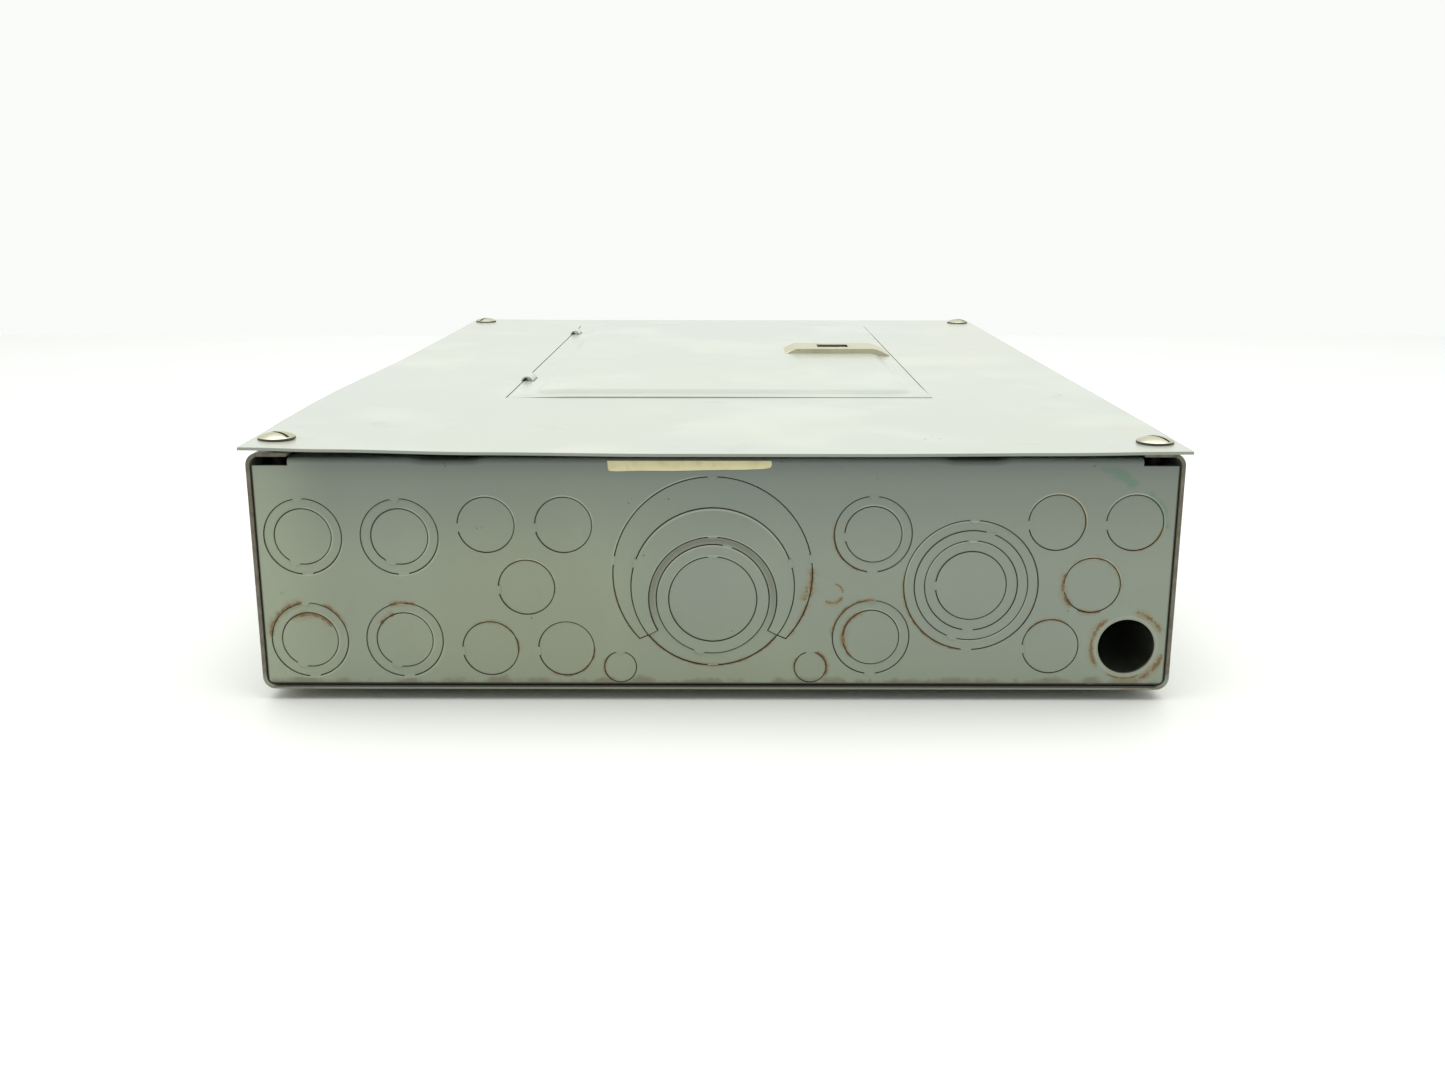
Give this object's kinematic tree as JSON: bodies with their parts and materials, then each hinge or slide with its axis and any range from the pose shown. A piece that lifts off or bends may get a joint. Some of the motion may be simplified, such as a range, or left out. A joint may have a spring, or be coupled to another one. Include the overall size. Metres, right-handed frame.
{
  "type": "residential load center",
  "caption": "Flat steel breaker enclosure on its back: knockout end walls, screwed cover, hinged latched door, deadfront, breakers, bus and terminal bars.",
  "frame": {"origin": "centre of the footprint, on the plane under the four mounting bosses of the back", "axes": "+X across the box towards the latch, +Y along the box from the lower end wall to the upper, +Z out through the cover"},
  "size_m": [0.366, 0.5354, 0.1061],
  "materials": {
    "grey_enamel": "semi-gloss baked enamel, light scratches and rust at cut edges",
    "grey_enamel_cover": "semi-gloss baked enamel, light scratches and rust at cut edges",
    "nickel_steel": "tarnished nickel plate",
    "zinc_steel": "zinc plate",
    "black_phenolic": "moulded phenolic",
    "handle_black": "moulded, slightly polished by use",
    "insulator_red": "moulded glass polyester",
    "tinned_copper": "tin plate over copper",
    "aluminium": "extruded, unpolished",
    "brass_strap": "dull copper alloy",
    "white_nylon": "moulded nylon",
    "card": "blank aged card"
  },
  "bodies": {
    "enclosure": {"enclosure_wrap": "grey_enamel", "lower_end_wall": "grey_enamel", "upper_end_wall": "grey_enamel", "cover": "grey_enamel_cover", "cover_screws": "nickel_steel", "deadfront": "grey_enamel", "filler_plates": "black_phenolic", "interior_pan": "zinc_steel", "pan_screws": "zinc_steel", "insulator_base": "insulator_red", "bus_bar_left": "tinned_copper", "bus_bar_right": "tinned_copper", "main_breaker_body": "black_phenolic", "main_lugs": "aluminium", "main_lug_screws": "zinc_steel", "branch_terminal_screws": "zinc_steel", "neutral_bar": "aluminium", "neutral_screws": "zinc_steel", "neutral_standoffs": "white_nylon", "neutral_lug": "aluminium", "neutral_lug_screw": "zinc_steel", "bonding_strap": "brass_strap", "ground_bar": "aluminium", "ground_screws": "zinc_steel", "ground_standoffs": "zinc_steel", "branch_breaker_01": "black_phenolic", "branch_breaker_02": "black_phenolic", "branch_breaker_03": "black_phenolic", "branch_breaker_04": "black_phenolic", "branch_breaker_05": "black_phenolic", "branch_breaker_06": "black_phenolic", "branch_breaker_07": "black_phenolic", "branch_breaker_08": "black_phenolic", "branch_breaker_09": "black_phenolic", "branch_breaker_10": "black_phenolic", "branch_breaker_11": "black_phenolic", "branch_breaker_12": "black_phenolic"},
    "door": {"door": "grey_enamel_cover", "latch_cover": "nickel_steel", "latch_guide": "zinc_steel", "circuit_directory": "card"},
    "latch": {"latch_slide": "zinc_steel"},
    "main_handle": {"main_breaker_handle": "handle_black"},
    "toggle_01": {"branch_handle_01": "handle_black"},
    "toggle_02": {"branch_handle_02": "handle_black"},
    "toggle_03": {"branch_handle_03": "handle_black"},
    "toggle_04": {"branch_handle_04": "handle_black"},
    "toggle_05": {"branch_handle_05": "handle_black"},
    "toggle_06": {"branch_handle_06": "handle_black"},
    "toggle_07": {"branch_handle_07": "handle_black"},
    "toggle_08": {"branch_handle_08": "handle_black"},
    "toggle_09": {"branch_handle_09": "handle_black"},
    "toggle_10": {"branch_handle_10": "handle_black"},
    "toggle_11": {"branch_handle_11": "handle_black"},
    "toggle_12": {"branch_handle_12": "handle_black"}
  },
  "joints": [
    {"name": "door_hinge", "type": "hinge", "parent": "enclosure", "child": "door", "pos_m": [-0.0992, 0.0548, 0.1012], "axis": [0, -1, 0], "range_deg": [0, 130]},
    {"name": "latch_slide", "type": "slide", "parent": "door", "child": "latch", "axis": [-1, 0, 0], "range_m": [0, 0.0055]},
    {"name": "main_breaker_toggle", "type": "hinge", "parent": "enclosure", "child": "main_handle", "pos_m": [0, -0.0787, 0.074], "axis": [-1, 0, 0], "range_deg": [0, 36]},
    {"name": "branch_toggle_01", "type": "hinge", "parent": "enclosure", "child": "toggle_01", "pos_m": [-0.042, 0.2066, 0.076], "axis": [0, 1, 0], "range_deg": [0, 34]},
    {"name": "branch_toggle_02", "type": "hinge", "parent": "enclosure", "child": "toggle_02", "pos_m": [0.042, 0.2066, 0.076], "axis": [0, -1, 0], "range_deg": [0, 34]},
    {"name": "branch_toggle_03", "type": "hinge", "parent": "enclosure", "child": "toggle_03", "pos_m": [-0.042, 0.1812, 0.076], "axis": [0, 1, 0], "range_deg": [0, 34]},
    {"name": "branch_toggle_04", "type": "hinge", "parent": "enclosure", "child": "toggle_04", "pos_m": [0.042, 0.1812, 0.076], "axis": [0, -1, 0], "range_deg": [0, 34]},
    {"name": "branch_toggle_05", "type": "hinge", "parent": "enclosure", "child": "toggle_05", "pos_m": [-0.042, 0.1558, 0.076], "axis": [0, 1, 0], "range_deg": [0, 34]},
    {"name": "branch_toggle_06", "type": "hinge", "parent": "enclosure", "child": "toggle_06", "pos_m": [0.042, 0.1558, 0.076], "axis": [0, -1, 0], "range_deg": [0, 34]},
    {"name": "branch_toggle_07", "type": "hinge", "parent": "enclosure", "child": "toggle_07", "pos_m": [-0.042, 0.1304, 0.076], "axis": [0, 1, 0], "range_deg": [0, 34]},
    {"name": "branch_toggle_08", "type": "hinge", "parent": "enclosure", "child": "toggle_08", "pos_m": [0.042, 0.1304, 0.076], "axis": [0, -1, 0], "range_deg": [0, 34]},
    {"name": "branch_toggle_09", "type": "hinge", "parent": "enclosure", "child": "toggle_09", "pos_m": [-0.042, 0.105, 0.076], "axis": [0, 1, 0], "range_deg": [0, 34]},
    {"name": "branch_toggle_10", "type": "hinge", "parent": "enclosure", "child": "toggle_10", "pos_m": [0.042, 0.105, 0.076], "axis": [0, -1, 0], "range_deg": [0, 34]},
    {"name": "branch_toggle_11", "type": "hinge", "parent": "enclosure", "child": "toggle_11", "pos_m": [-0.042, 0.0796, 0.076], "axis": [0, 1, 0], "range_deg": [0, 34]},
    {"name": "branch_toggle_12", "type": "hinge", "parent": "enclosure", "child": "toggle_12", "pos_m": [0.042, 0.0796, 0.076], "axis": [0, -1, 0], "range_deg": [0, 34]}
  ]
}
